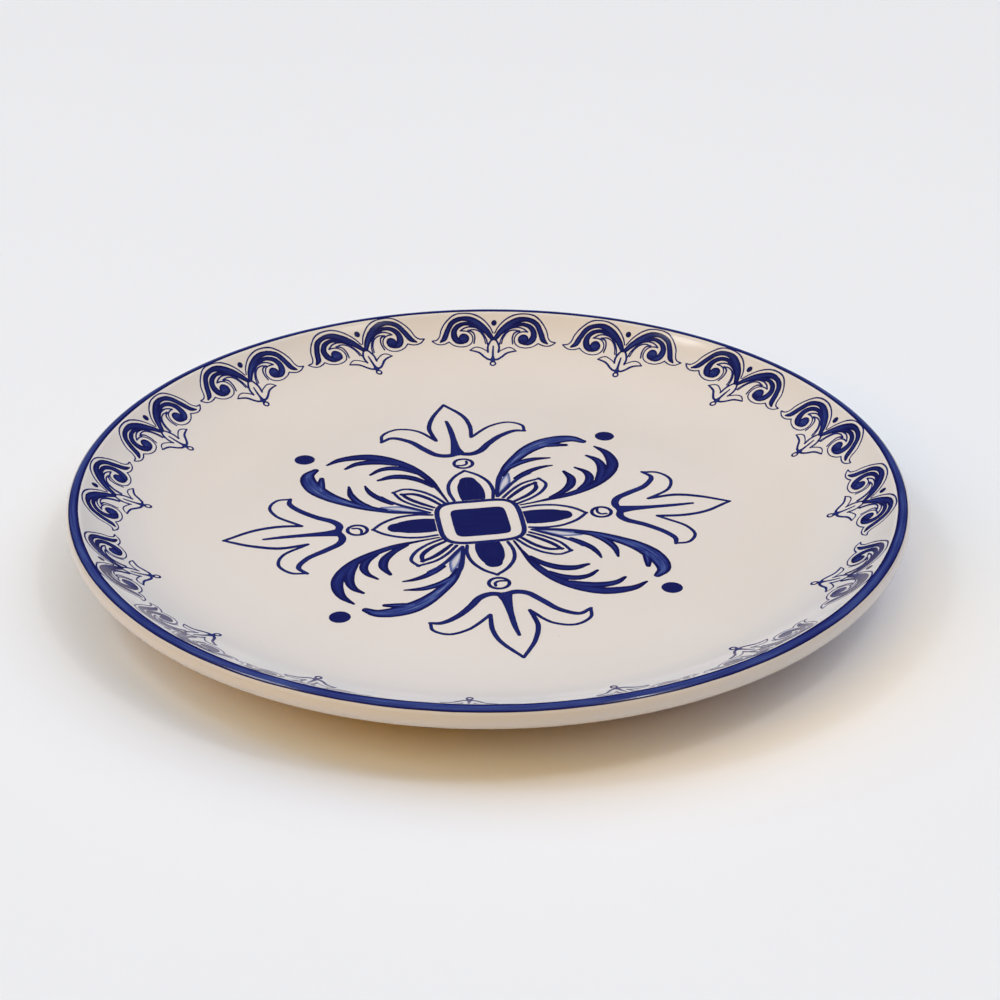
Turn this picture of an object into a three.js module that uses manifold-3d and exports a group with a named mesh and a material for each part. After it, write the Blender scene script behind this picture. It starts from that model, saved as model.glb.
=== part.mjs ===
// Hand painted ceramic plate, in millimetres, +Z up, resting on its foot ring.
// Origin: centre of the foot ring, on the surface the plate stands on.
import * as THREE from 'three';
import { mergeVertices } from 'three/addons/utils/BufferGeometryUtils.js';
import Module from 'manifold-3d';

// Driving sizes of the pot.
const plateDiameter = 280;
const plateHeight = 25;
const floorThickness = 6.2;
const footHeight = 3.4;
const footRadius = 89;
const footWidth = 5.6;
const wellFlatRadius = 83;
const shoulderRadius = 106.5;
const underCornerRadius = 112;
const lipRadius = 3.4;
const glazeThickness = 0.5;
const layerGap = 0.1;

// Driving sizes of the painting.
const paintThickness = 0.25;
const paintGap = 0.15;
const motifTurn = 8.9;
const motifShift = -2.7;
const rimMotifCount = 16;

// Sizes that follow the driving ones.
const plateRadius = plateDiameter / 2;
const floorTop = footHeight + floorThickness;
const rimRise = plateHeight - floorTop;
const shoulderSlope = Math.asin(0.1416);

const ringSegments = 48;
const degree = Math.PI / 180;

const wasm = await Module();
wasm.setup();

// ---- Materials -------------------------------------------------------------

function material(name, color, roughness) {
  return new THREE.MeshStandardMaterial({ name, color, roughness, metalness: 0 });
}
const clay = material('biscuit_clay', 0xcdb08c, 0.9);
const whiteGlaze = material('cream_glaze', 0xdbd3c8, 0.18);
const bandBlue = material('band_blue', 0x2b3f86, 0.2);
const navy = material('cobalt_dark', 0x1a2060, 0.25);
const lineBlue = material('cobalt_line', 0x222b70, 0.25);
const washBlue = material('cobalt_wash', 0x3a5296, 0.25);

// ---- Outline of the pot: stations with a position and an outward normal ----

function station(r, z, heading) {
  return { r, z, normalR: -Math.sin(heading), normalZ: Math.cos(heading) };
}

// Stations along an arc whose surface heading runs from one angle to another.
// A rising heading hollows the surface, a falling one rounds it outwards.
function arcStations(centreR, centreZ, radius, fromHeading, toHeading, steps) {
  const side = toHeading > fromHeading ? -1 : 1;
  const stations = [];
  for (let i = 0; i <= steps; i += 1) {
    const heading = fromHeading + ((toHeading - fromHeading) * i) / steps;
    const r = centreR - side * radius * Math.sin(heading);
    const z = centreZ + side * radius * Math.cos(heading);
    stations.push(station(r, z, heading));
  }
  return stations;
}

// A rounded corner between the straight runs before and after it.
function cornerStations(before, corner, after, radius, steps) {
  const headingIn = Math.atan2(corner[1] - before[1], corner[0] - before[0]);
  let turn = Math.atan2(after[1] - corner[1], after[0] - corner[0]) - headingIn;
  if (turn > Math.PI) turn -= 2 * Math.PI;
  if (turn < -Math.PI) turn += 2 * Math.PI;
  const reach = radius * Math.tan(Math.abs(turn) / 2);
  const startR = corner[0] - reach * Math.cos(headingIn);
  const startZ = corner[1] - reach * Math.sin(headingIn);
  const side = turn > 0 ? -1 : 1;
  const centreR = startR + side * radius * Math.sin(headingIn);
  const centreZ = startZ - side * radius * Math.cos(headingIn);
  return arcStations(centreR, centreZ, radius, headingIn, headingIn + turn, steps);
}

// Inner surface: flat floor, slow shoulder arc, rim arc, then the round lip.
const shoulderArc = (shoulderRadius - wellFlatRadius) / Math.sin(shoulderSlope);
const shoulderRise = shoulderArc * (1 - Math.cos(shoulderSlope));
const chordR = plateRadius - lipRadius - shoulderRadius - lipRadius * Math.sin(shoulderSlope);
const chordZ = rimRise - lipRadius - shoulderRise + lipRadius * Math.cos(shoulderSlope);
const lipSlope = 2 * Math.atan2(chordZ, chordR) - shoulderSlope;
const rimArc = chordR / (Math.sin(lipSlope) - Math.sin(shoulderSlope)) - lipRadius;
const rimArcR = shoulderRadius - rimArc * Math.sin(shoulderSlope);
const rimArcZ = floorTop + shoulderRise + rimArc * Math.cos(shoulderSlope);
const lipR = plateRadius - lipRadius;
const lipZ = plateHeight - lipRadius;

// Height of the glazed inner surface at a distance from the axis.
function surfaceHeight(r) {
  if (r <= wellFlatRadius) return floorTop;
  if (r <= shoulderRadius) {
    return floorTop + shoulderArc - Math.sqrt(shoulderArc ** 2 - (r - wellFlatRadius) ** 2);
  }
  return rimArcZ - Math.sqrt(rimArc ** 2 - (r - rimArcR) ** 2);
}

// The painted band runs over the lip between these two headings. On a flatter
// rim it starts no lower than half way down to the rim's own slope.
const steepestStart = 18 * degree;
const bandStart = Math.min(steepestStart, lipSlope / 2);
const bandEnd = -42 * degree;
const widest = -90 * degree;
const lipEnd = -120 * degree;
const seam = layerGap / lipRadius;

function lipStations(fromHeading, toHeading, steps) {
  return arcStations(lipR, lipZ, lipRadius, fromHeading, toHeading, steps);
}

function frontStations() {
  return [
    station(0, floorTop, 0),
    ...arcStations(wellFlatRadius, floorTop + shoulderArc, shoulderArc, 0, shoulderSlope, 2),
    ...arcStations(rimArcR, rimArcZ, rimArc, shoulderSlope, lipSlope, 5).slice(1),
    ...lipStations(lipSlope, bandStart + seam, 2).slice(1),
  ];
}

function bandStations() {
  return lipStations(bandStart - seam, bandEnd + seam, 5);
}

// Corners of the underside and of the foot ring.
const wallDrop = 2.6;
const underSag = 0.5;
const footSlant = 0.5;
const lipLeave = [
  lipR - lipRadius * Math.sin(lipEnd),
  lipZ + lipRadius * Math.cos(lipEnd),
];
const wallCorner = [
  lipLeave[0] + wallDrop * Math.cos(lipEnd),
  lipLeave[1] + wallDrop * Math.sin(lipEnd),
];
const underCorner = [
  underCornerRadius,
  surfaceHeight(underCornerRadius) - floorThickness - underSag,
];
const footOuterTop = [footRadius + footSlant, footHeight + underSag];
const footOuterBottom = [footRadius, 0];
const footInnerBottom = [footRadius - footWidth, 0];
const footInnerTop = [footInnerBottom[0] - footSlant, footHeight];
const baseCentre = [0, footHeight];

const wallRounding = 7;
const underRounding = 53;
const footFillet = 1.6;
const footEdge = 1.3;

function backStations() {
  return [
    ...lipStations(bandEnd - seam, widest, 2),
    ...lipStations(widest, lipEnd, 2).slice(1, -1),
    ...cornerStations(lipLeave, wallCorner, underCorner, wallRounding, 2),
    ...cornerStations(wallCorner, underCorner, footOuterTop, underRounding, 3),
    ...cornerStations(underCorner, footOuterTop, footOuterBottom, footFillet, 2),
  ];
}

function footStations() {
  return [
    ...cornerStations(footOuterTop, footOuterBottom, footInnerBottom, footEdge, 2),
    ...cornerStations(footOuterBottom, footInnerBottom, footInnerTop, footEdge, 2),
  ];
}

function baseStations() {
  return [
    ...cornerStations(footInnerBottom, footInnerTop, baseCentre, footFillet, 2),
    station(0, footHeight, -Math.PI),
  ];
}

// ---- Turned bodies ---------------------------------------------------------

// Points of a run of stations sunk below the finished surface by a depth.
function sunk(stations, depth) {
  return stations.map(
    (s) => new THREE.Vector2(Math.max(0, s.r - depth * s.normalR), s.z - depth * s.normalZ),
  );
}

// Lathes turn about Y, so each one is stood up on Z.
function turned(name, points, mat) {
  const geometry = new THREE.LatheGeometry([...points].reverse(), ringSegments);
  geometry.rotateX(Math.PI / 2);
  const mesh = new THREE.Mesh(geometry, mat);
  mesh.name = name;
  return mesh;
}

// A coat of glaze over a run of stations, closed back along its own underside.
function coat(name, stations, mat) {
  const outside = sunk(stations, 0);
  const inside = sunk(stations, glazeThickness).reverse();
  const loop = stations[0].r === 0 ? [...outside, ...inside] : [...inside, ...outside];
  if (loop[0].x > 0) loop.push(loop[0].clone());
  return turned(name, loop, mat);
}

function clayBody() {
  const depth = glazeThickness + layerGap;
  const lipPart = lipStations(bandStart, bandEnd, 3);
  return turned(
    'clay_body',
    [
      ...sunk(frontStations(), depth),
      ...sunk(lipPart, depth),
      ...sunk(backStations(), depth),
      ...sunk(footStations(), 0),
      ...sunk(baseStations(), depth),
    ],
    clay,
  );
}

// ---- Painted marks ---------------------------------------------------------

// One brush stroke: [x, y, width] stations joined by a smooth centre line.
function strokeShape(stations, samples) {
  const line = new THREE.CatmullRomCurve3(
    stations.map(([x, y, width]) => new THREE.Vector3(x, y, width)),
    false,
    'centripetal',
  );
  const left = [];
  const right = [];
  for (let i = 0; i <= samples; i += 1) {
    const here = line.getPoint(i / samples);
    const ahead = line.getTangent(i / samples);
    const along = Math.hypot(ahead.x, ahead.y);
    const sideX = (-ahead.y / along) * (here.z / 2);
    const sideY = (ahead.x / along) * (here.z / 2);
    left.push(new THREE.Vector2(here.x + sideX, here.y + sideY));
    right.push(new THREE.Vector2(here.x - sideX, here.y - sideY));
  }
  return new THREE.Shape([...left, ...right.reverse()]);
}

// A closed round, or squarish, outline: power 2 is a circle, 8 nearly a square.
function roundShape(centreX, centreY, radius, power, steps) {
  const points = [];
  for (let i = 0; i < steps; i += 1) {
    const angle = (2 * Math.PI * i) / steps;
    const c = Math.cos(angle);
    const s = Math.sin(angle);
    const reach = radius / (Math.abs(c) ** power + Math.abs(s) ** power) ** (1 / power);
    points.push(new THREE.Vector2(centreX + reach * c, centreY + reach * s));
  }
  return new THREE.Shape(points);
}

function ringShape(centreX, centreY, outer, inner, power, steps) {
  const shape = roundShape(centreX, centreY, outer, power, steps);
  shape.holes.push(roundShape(centreX, centreY, inner, power, steps));
  return shape;
}

function solidOf(shape) {
  const options = { depth: paintThickness, bevelEnabled: false, curveSegments: 1 };
  const geometry = new THREE.ExtrudeGeometry(shape, options);
  geometry.deleteAttribute('normal');
  geometry.deleteAttribute('uv');
  const merged = mergeVertices(geometry);
  const vertProperties = new Float32Array(merged.attributes.position.array);
  const triVerts = new Uint32Array(merged.index.array);
  return new wasm.Manifold(new wasm.Mesh({ numProp: 3, vertProperties, triVerts }));
}

function joined(shapes) {
  return shapes.map(solidOf).reduce((sum, next) => sum.add(next));
}

// A point above the turned front glaze, which is flat between its ring lines.
const glazeLine = sunk(frontStations(), 0);
const sector = (2 * Math.PI) / ringSegments;
function aboveGlaze(x, y, lift) {
  const angle = Math.atan2(y, x);
  const middle = (Math.floor(angle / sector) + 0.5) * sector;
  const reach = (Math.hypot(x, y) * Math.cos(angle - middle)) / Math.cos(sector / 2);
  const next = glazeLine.findIndex((point, i) => i > 0 && point.x >= reach);
  const [from, to] = [glazeLine[next - 1], glazeLine[next]];
  const slope = (to.y - from.y) / (to.x - from.x);
  const foot = from.y + slope * (reach - from.x);
  const outward = new THREE.Vector3(-slope * Math.cos(middle), -slope * Math.sin(middle), 1);
  return new THREE.Vector3(x, y, foot).addScaledVector(outward.normalize(), lift);
}

// Lays flat painted shapes onto the glazed surface with a placing function.
function painted(name, shapes, place, mat) {
  const mesh = joined(shapes).getMesh();
  const positions = new Float32Array(mesh.vertProperties);
  for (let i = 0; i < positions.length; i += 3) {
    const [x, y] = place(positions[i], positions[i + 1]);
    aboveGlaze(x, y, paintGap + positions[i + 2]).toArray(positions, i);
  }
  const geometry = new THREE.BufferGeometry();
  geometry.setAttribute('position', new THREE.BufferAttribute(positions, 3));
  geometry.setIndex(new THREE.BufferAttribute(new Uint32Array(mesh.triVerts), 1));
  const faceted = geometry.toNonIndexed();
  faceted.computeVertexNormals();
  const result = new THREE.Mesh(faceted, mat);
  result.name = name;
  return result;
}

// Places a mark of the middle ornament, turned by whole quarters. The marks
// are drawn for a flat floor of this radius and grow with the real one.
const drawnFlatRadius = 83;
const middleScale = wellFlatRadius / drawnFlatRadius;
function middlePlace(quarter) {
  const angle = (motifTurn + 90 * quarter) * degree;
  return (x, y) => [
    (x * Math.cos(angle) - y * Math.sin(angle) + motifShift) * middleScale,
    (x * Math.sin(angle) + y * Math.cos(angle)) * middleScale,
  ];
}

// How far, in degrees, each rim motif was painted off its even place, and how
// far it leans from the line to the plate's centre.
const rimDrift = [
  -1, -1.3, -1.1, -0.8, -1.1, -1.5, -2.4, -3, -3, -3.5, -2.6, -1.7, -1.7, -1.4, -1.1, -0.9,
];
const rimLean = [1.5, -4.7, 7.6, -9.6, -4.8, -6, 5, -4, 3, -5, 5, 8.1, -5.7, -1.4, 8.5, -8.8];

// Places a mark of the rim ornament: x runs round the rim and y outwards. The
// marks are drawn for these radii and keep to the sloping rim of the real one,
// running only this far onto the rounding of the lip and clear of the band.
const drawnShoulder = 106.5;
const drawnEnd = 135.9;
const drawnMiddle = 127;
const lipReach = 0.5;
const bandClearance = 0.3;
const rimEnd = Math.min(
  lipR - lipRadius * Math.sin(lipSlope) + lipReach,
  glazeLine[glazeLine.length - 1].x - bandClearance,
);
const rimScale = (rimEnd - shoulderRadius) / (drawnEnd - drawnShoulder);
function rimPlace(index) {
  const turn = index % rimDrift.length;
  const middle = (90 - (360 / rimMotifCount) * index + rimDrift[turn]) * degree;
  const lean = Math.sin(rimLean[turn] * degree);
  const tip = Math.sin((rimLean[turn] * degree) / 3);
  const round = (rimMotifCount / rimDrift.length) * drawnMiddle;
  return (x, y) => {
    const angle = middle - (x + (y - drawnMiddle) * lean) / round;
    const radius = rimEnd - (drawnEnd - y + x * tip) * rimScale;
    return [radius * Math.cos(angle), radius * Math.sin(angle)];
  };
}

function mirrored(stations) {
  return stations.map(([x, y, width]) => [-x, y, width]);
}

// Middle ornament, drawn once and repeated in four quarters.
const petalSide = [[6.9, 15.6, 0.9], [7.7, 21, 1], [6.9, 27, 1], [3.9, 32.6, 1], [-0.1, 36.3, 0.9]];
const petalFill = [[0, 15.5, 9], [0, 19, 9.8], [0, 25, 8.2], [0, 29, 5.4], [0, 31.2, 2]];
const leafUpper = [[10.3, 15.2, 0.9], [14, 20, 0.9], [18.5, 24, 0.9], [24.7, 26.5, 0.9]];
const leafLower = [[24.4, 26.7, 0.9], [26.3, 22.5, 0.9], [24.3, 17.6, 1], [20, 13.4, 0.9], [14.2, 10, 0.9]];
const loopUpper = [[11.9, 14.3, 1.3], [15.2, 18, 1.7], [19, 21.4, 1.7], [23, 23.7, 1.3]];
const loopLower = [[22.7, 23.9, 1.3], [22.3, 19.7, 1.7], [18.9, 15.6, 1.7], [13.4, 11.8, 1.3]];

const washSpray = [
  [[8.9, 16.4, 0.9], [10.2, 22, 1.6], [12.2, 28.5, 2.2], [15, 35, 3], [19, 41.5, 3.4],
    [24.5, 48, 4.8], [31, 52.4, 6], [37, 54.2, 5.2], [42, 53.6, 4], [45, 50.9, 1.8]],
  [[29, 50.4, 2], [34.6, 50.6, 2.8], [38.6, 49.4, 1.3]],
  [[15.6, 35.8, 2], [20, 38.4, 2.4], [25, 40.8, 2.6], [31, 40.9, 0.8]],
  [[9.2, 17.4, 0.9], [13, 24.4, 1.8], [18, 29.8, 2.2], [24, 33.7, 2.6], [30.6, 35.3, 0.8]],
];
const darkSpray = [
  [[15.2, 9, 0.9], [22, 10.4, 1.3], [30, 12.5, 2.5], [37.5, 15.9, 3.2], [44, 20.3, 3.8],
    [49, 26, 4.3], [51.7, 32, 4.4], [52, 37.5, 4], [51, 42.5, 2.9], [48.2, 46.9, 1.1]],
  [[45, 22.5, 3], [47.4, 28, 3.9], [47.8, 33, 3.4], [46.8, 37.4, 2.6], [44.2, 40.7, 1.3]],
  [[37.2, 16.8, 2.2], [40.6, 20.6, 3], [42.2, 25, 3.1], [41.5, 29, 2.3], [38.6, 32.6, 1.1]],
  [[26.5, 12.4, 1.8], [31, 15.8, 2.6], [34.6, 20.5, 3.3], [35.7, 25.4, 3.1], [34.2, 30.4, 1.4]],
];

const lilyStrokes = [
  [[26, 63, 1.1], [22.5, 63.7, 1.5], [17, 60.8, 1.7], [11.7, 55.6, 2.1], [7.5, 49.9, 2.3],
    [4, 47.9, 2.2], [0, 49.2, 2]],
  [[-26.2, 62.2, 1.1], [-22, 64.8, 1.4], [-16, 61.2, 1.6], [-11.7, 54.6, 1.9], [-8, 49.5, 2.2],
    [-4.2, 47.8, 2.1], [0, 49.2, 2]],
  [[25.8, 63.1, 0.9], [25.6, 67.6, 0.9], [21, 70.8, 0.9], [14.5, 69, 0.9], [6.2, 61.2, 1]],
  [[-26, 62.4, 0.9], [-25, 67.6, 0.9], [-19.5, 71.2, 0.9], [-12.5, 69, 0.9], [-6.6, 60.4, 1]],
  [[6.2, 61.2, 1.1], [6.9, 70, 1.3], [5.6, 78, 1.2], [0, 88, 0.9]],
  [[-6.6, 60.4, 1.1], [-7.7, 70, 1.4], [-5.4, 78, 1.3], [0, 88, 0.9]],
  [[-0.5, 48.6, 5], [-0.5, 53, 3.2], [-0.2, 60, 2], [-0.4, 69, 1.6], [-0.7, 74.8, 0.9]],
];
const lilySamples = [7, 7, 5, 5, 3, 3, 3];

const roundelCurl = [[1.7, 43, 1], [1.6, 41.2, 1.1], [0.2, 40.2, 1.1], [-2.9, 40.6, 1]];

// Rim ornament: a pair of scrolled arches with a small lily between them.
const scrollOuter = [
  [0.3, 126.9, 1.8], [2.4, 129.6, 2.3], [5, 132, 2.6], [8.6, 133.9, 2.1], [12, 134.1, 1.5],
  [15.2, 132.8, 1.8], [17.2, 129.9, 2], [18.5, 127.3, 2], [20.2, 126, 0.7],
];
const scrollInner = [
  [4.4, 130.8, 1.4], [7.5, 132.1, 1.3], [10.6, 132.5, 1.3], [13.3, 131.5, 1.7],
  [14.6, 129.6, 2.2], [14.4, 127.3, 2.6], [12.8, 126, 2.6], [10.9, 126.6, 3.2],
];
const budHorn = [
  [0, 116.8, 1], [1.8, 116.8, 1], [3.4, 118.1, 1], [5.3, 120.3, 0.9], [8.8, 121.6, 0.7],
];
const budStem = [[0, 113.5, 2.2], [0, 116.4, 1.5], [0, 120, 0.9], [0, 127.4, 0.8]];

function middleQuarter(quarter) {
  const place = middlePlace(quarter);
  const tag = ['north', 'west', 'south', 'east'][quarter];
  const strokes = (list, samples) => list.map((s, i) => strokeShape(s, samples[i] ?? samples[0]));
  const petal = strokes([petalSide, mirrored(petalSide)], [6]);
  const roundel = [ringShape(0.4, 41.5, 3.9, 2.8, 2, 14), strokeShape(roundelCurl, 4)];
  return [
    painted(`petal_outline_${tag}`, petal, place, lineBlue),
    painted(`petal_fill_${tag}`, [strokeShape(petalFill, 6)], place, navy),
    painted(`leaf_outline_${tag}`, strokes([leafUpper, leafLower], [5, 6]), place, lineBlue),
    painted(`leaf_loop_${tag}`, strokes([loopUpper, loopLower], [4]), place, navy),
    painted(`spray_washed_${tag}`, strokes(washSpray, [12, 3, 4, 5]), place, washBlue),
    painted(`spray_dark_${tag}`, strokes(darkSpray, [12, 5, 5, 5]), place, navy),
    painted(`corner_dot_${tag}`, [roundShape(53.4, 54.2, 3.2, 2, 12)], place, navy),
    painted(`roundel_${tag}`, roundel, place, lineBlue),
    painted(`lily_${tag}`, strokes(lilyStrokes, lilySamples), place, lineBlue),
  ];
}

function rimMotif(index) {
  const sides = [scrollOuter, scrollInner, budHorn];
  const samples = [7, 6, 3];
  const shapes = sides.flatMap((s, i) => [
    strokeShape(s, samples[i]),
    strokeShape(mirrored(s), samples[i]),
  ]);
  shapes.push(strokeShape(budStem, 2));
  return painted(`rim_motif_${String(index).padStart(2, '0')}`, shapes, rimPlace(index), navy);
}

const plate = new THREE.Group();
plate.name = 'hand_painted_ceramic_plate';
plate.add(clayBody());
plate.add(coat('front_glaze', frontStations(), whiteGlaze));
plate.add(coat('rim_band', bandStations(), bandBlue));
plate.add(coat('back_glaze', backStations(), whiteGlaze));
plate.add(coat('base_glaze', baseStations(), whiteGlaze));
plate.add(painted('centre_square', [roundShape(0, -0.3, 9.4, 8, 24)], middlePlace(0), navy));
plate.add(painted('centre_ring', [ringShape(0, 0, 14.8, 13.4, 4.5, 24)], middlePlace(0), lineBlue));
for (let quarter = 0; quarter < 4; quarter += 1) plate.add(...middleQuarter(quarter));
for (let index = 0; index < rimMotifCount; index += 1) plate.add(rimMotif(index));

export default plate;
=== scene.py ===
import math

import bmesh
import bpy
import numpy as np
from mathutils import Matrix, Vector, noise


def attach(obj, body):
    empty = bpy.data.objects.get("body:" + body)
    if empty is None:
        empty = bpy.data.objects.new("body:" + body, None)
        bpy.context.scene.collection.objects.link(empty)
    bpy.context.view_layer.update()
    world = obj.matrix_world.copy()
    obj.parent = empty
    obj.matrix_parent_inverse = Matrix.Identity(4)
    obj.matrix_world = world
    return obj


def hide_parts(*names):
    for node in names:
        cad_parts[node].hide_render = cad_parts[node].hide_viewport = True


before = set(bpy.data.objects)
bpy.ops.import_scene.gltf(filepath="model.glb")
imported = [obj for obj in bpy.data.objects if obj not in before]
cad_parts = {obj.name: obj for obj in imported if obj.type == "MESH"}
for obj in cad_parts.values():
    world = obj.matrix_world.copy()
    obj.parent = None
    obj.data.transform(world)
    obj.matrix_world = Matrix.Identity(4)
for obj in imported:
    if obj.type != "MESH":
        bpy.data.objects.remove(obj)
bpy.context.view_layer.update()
print("frame loaded:", len(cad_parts), "parts")

noise.seed_set(5)               # the hand's wander is the same every time
mm = 0.001                      # the frame is in metres, the sizes below in millimetres


# shader helpers

class Value:                    # a node socket that can stand in a sum
    def __init__(self, finish, socket):
        self.finish = finish
        self.socket = socket

    def sum(self, operation, first, second):
        return self.finish.node("ShaderNodeMath", {"operation": operation}, {0: first, 1: second})

    def __add__(self, other):
        return self.sum("ADD", self, other)

    def __sub__(self, other):
        return self.sum("SUBTRACT", self, other)

    def __rsub__(self, other):
        return self.sum("SUBTRACT", other, self)

    def __mul__(self, other):
        return self.sum("MULTIPLY", self, other)

    def __gt__(self, other):
        return self.sum("GREATER_THAN", self, other)

    __radd__ = __add__
    __rmul__ = __mul__


class Finish:                   # one material and the nodes behind it
    def __init__(self, name, constants):
        self.material = bpy.data.materials.new(name)
        self.material.use_nodes = True
        self.tree = self.material.node_tree
        self.shader = self.tree.nodes["Principled BSDF"]
        for socket, value in constants.items():
            self.shader.inputs[socket].default_value = value

    def node(self, kind, settings, values, output=0):
        made = self.tree.nodes.new(kind)
        for setting, value in settings.items():
            if setting == "stops":
                self.setStops(made.color_ramp, value)
            else:
                setattr(made, setting, value)
        for socket, value in values.items():
            if isinstance(value, Value):
                self.tree.links.new(value.socket, made.inputs[socket])
            else:
                made.inputs[socket].default_value = value
        return Value(self, made.outputs[output])

    def setStops(self, ramp, stops):
        while len(ramp.elements) < len(stops):
            ramp.elements.new(1.0)
        for element, (position, colour) in zip(ramp.elements, stops):
            element.position = position
            element.color = colour

    def feed(self, socket, value):
        self.tree.links.new(value.socket, self.shader.inputs[socket])

    def place(self):
        return self.node("ShaderNodeTexCoord", {}, {}, "Object")

    def noise(self, where, scale, detail):
        return self.node("ShaderNodeTexNoise", {}, {"Vector": where, "Scale": scale, "Detail": detail})

    def rise(self, value, low, high):       # 0 below low, 1 above high, smooth between
        settings = {"interpolation_type": "SMOOTHSTEP"}
        return self.node("ShaderNodeMapRange", settings, {"Value": value, 1: low, 2: high})

    def blend(self, share, first, second):  # mixes two colours
        return self.node("ShaderNodeMix", {"data_type": "RGBA"}, {0: share, 6: first, 7: second}, 2)


def colour(red, green, blue):   # display colour, 0 to 255, to the linear one a shader wants
    parts = [channel / 255 for channel in (red, green, blue)]
    linear = [p / 12.92 if p <= 0.04045 else ((p + 0.055) / 1.055) ** 2.4 for p in parts]
    return (*linear, 1.0)


# finishes

glazeLook = {
    "body": colour(236, 226, 217),
    "cloud": colour(232, 222, 212),         # slightly richer where the glaze lies thicker
    "rim": colour(234, 227, 221),           # painted cool shade on the slope, set against the warm lamps; the glaze also gathers thicker there
    # the back is the same glaze as the front, given darker, warmer colours: painted shade and painted
    # warm bounce light
    "back": colour(220, 212, 205),
    "shadedBackCloud": colour(216, 208, 200),
    "straw": colour(226, 184, 138),         # further in, where the back is hardly covered
    "speck": colour(176, 142, 104),
    "wave": 30.0,                           # waviness of the glossy surface, per metre
    "peel": 260.0,                          # fine orange peel, per metre
    "peelShare": 0.05,
    "waveDepth": 0.00005,
    "rough": 0.10,
    "peelRough": 0.06,
    "broad": 14.0,                          # clouds, fine mottle and specks, per metre
    "fine": 420.0,
    "specks": 130.0,
    "mottle": 0.35,
    "speckSize": (0.012, 0.03),
    "speckPick": 0.82,                      # only cells above this hold a speck
    "speckShare": 0.7,
    "rimCoolShadeReach": (0.104, 0.126),             # radii between which the second colour comes in: the rim's painted cool shade
    "strawReach": (0.128, 0.114),
    "stray": 0.012,                         # how far that border wanders
}


def glazeSurface(finish, where):            # shared by the glaze and the paint fired into it
    wave = finish.noise(where, glazeLook["wave"], 1.0)
    peel = finish.noise(where, glazeLook["peel"], 2.0)
    height = wave + peel * glazeLook["peelShare"]
    bump = {"Strength": 1.0, "Distance": glazeLook["waveDepth"], "Height": height}
    finish.feed("Normal", finish.node("ShaderNodeBump", {}, bump))
    finish.feed("Roughness", glazeLook["rough"] + peel * glazeLook["peelRough"])


def creamGlaze(name, body, cloud, other, reach):
    # other: the colour the glaze takes on from the first radius of reach to the second, in metres
    finish = Finish(name, {"IOR": 1.5, "Coat Weight": 0.0})
    where = finish.place()
    broad = finish.noise(where, glazeLook["broad"], 3.0)
    fine = finish.noise(where, glazeLook["fine"], 3.0)
    share = finish.rise(broad, 0.35, 0.7) * 0.8 + (fine - 0.5) * glazeLook["mottle"]
    tint = finish.blend(share, body, cloud)
    radius = finish.node("ShaderNodeVectorMath", {"operation": "LENGTH"}, {0: where}, "Value")
    # past the reach the glaze takes the other colour: painted cool shade on the front's rim, the straw
    # colour on the back
    beyond = finish.rise(radius + (broad - 0.5) * glazeLook["stray"], *reach)
    tint = finish.blend(beyond, tint, other)
    cells = {"Vector": where, "Scale": glazeLook["specks"]}
    near = finish.node("ShaderNodeTexVoronoi", {}, cells, "Distance")
    cellTint = finish.node("ShaderNodeTexVoronoi", {}, cells, "Color")
    pick = finish.node("ShaderNodeSeparateColor", {}, {0: cellTint})
    dot = (1 - finish.rise(near, *glazeLook["speckSize"])) * (pick > glazeLook["speckPick"])
    finish.feed("Base Color", finish.blend(dot * glazeLook["speckShare"], tint, glazeLook["speck"]))
    glazeSurface(finish, where)
    return finish.material


paintLook = {
    "stretch": (0.11, 1.9, 1.0),            # brush marks are long in the way of the stroke
    "patches": 90.0,                        # uneven pigment, per metre
    "washes": [                             # ramp stops from the palest wash to the deepest fill
        (0.0, glazeLook["body"]),
        (0.24, colour(166, 172, 198)),
        (0.5, colour(70, 88, 150)),
        (0.75, colour(38, 48, 118)),
        (1.0, colour(20, 22, 82)),
    ],
}


def cobalt(name, strength, streak, edge, core):
    # strength: how much pigment; streak: brush marks; edge: pooled rim in mm; core: how pale inside
    finish = Finish(name, {"IOR": 1.5})
    where = finish.place()
    flow = finish.node("ShaderNodeAttribute", {"attribute_name": "flow"}, {}, "Vector")
    depth = finish.node("ShaderNodeAttribute", {"attribute_name": "depth"}, {}, "Fac")
    scale = {0: flow, 1: paintLook["stretch"]}
    stretched = finish.node("ShaderNodeVectorMath", {"operation": "MULTIPLY"}, scale)
    marks = finish.noise(stretched, 1.0, 3.0)
    broad = finish.noise(where, paintLook["patches"], 2.0)
    inside = finish.rise(depth, edge * 0.35, edge)
    amount = strength - inside * core + (marks - 0.5) * (streak * 2) * inside
    amount = amount + (broad - 0.5) * (streak * 0.8)
    ramp = {"stops": paintLook["washes"]}
    finish.feed("Base Color", finish.node("ShaderNodeValToRGB", ramp, {0: amount}, "Color"))
    glazeSurface(finish, where)
    return finish.material


bandLook = {
    "strength": 1.08,
    "core": 0.43,                           # paler in the middle of the band
    "marks": 0.55,
    "pools": 0.30,
    "poolScale": 45.0,
    "edge": (0.1, 0.9),                     # millimetres over which the dark edge fades
}


def bandPaint(name):
    finish = Finish(name, {"IOR": 1.5})
    where = finish.place()
    depth = finish.node("ShaderNodeAttribute", {"attribute_name": "depth"}, {}, "Fac")
    flow = finish.node("ShaderNodeAttribute", {"attribute_name": "flow"}, {}, "Vector")
    marks = finish.noise(flow, 1.0, 3.0)
    pools = finish.noise(where, bandLook["poolScale"], 2.0)
    inside = finish.rise(depth, *bandLook["edge"])
    amount = bandLook["strength"] - inside * bandLook["core"]
    amount = amount + (marks - 0.5) * bandLook["marks"] + (pools - 0.5) * bandLook["pools"]
    ramp = {"stops": paintLook["washes"]}
    finish.feed("Base Color", finish.node("ShaderNodeValToRGB", ramp, {0: amount}, "Color"))
    glazeSurface(finish, where)
    return finish.material


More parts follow.
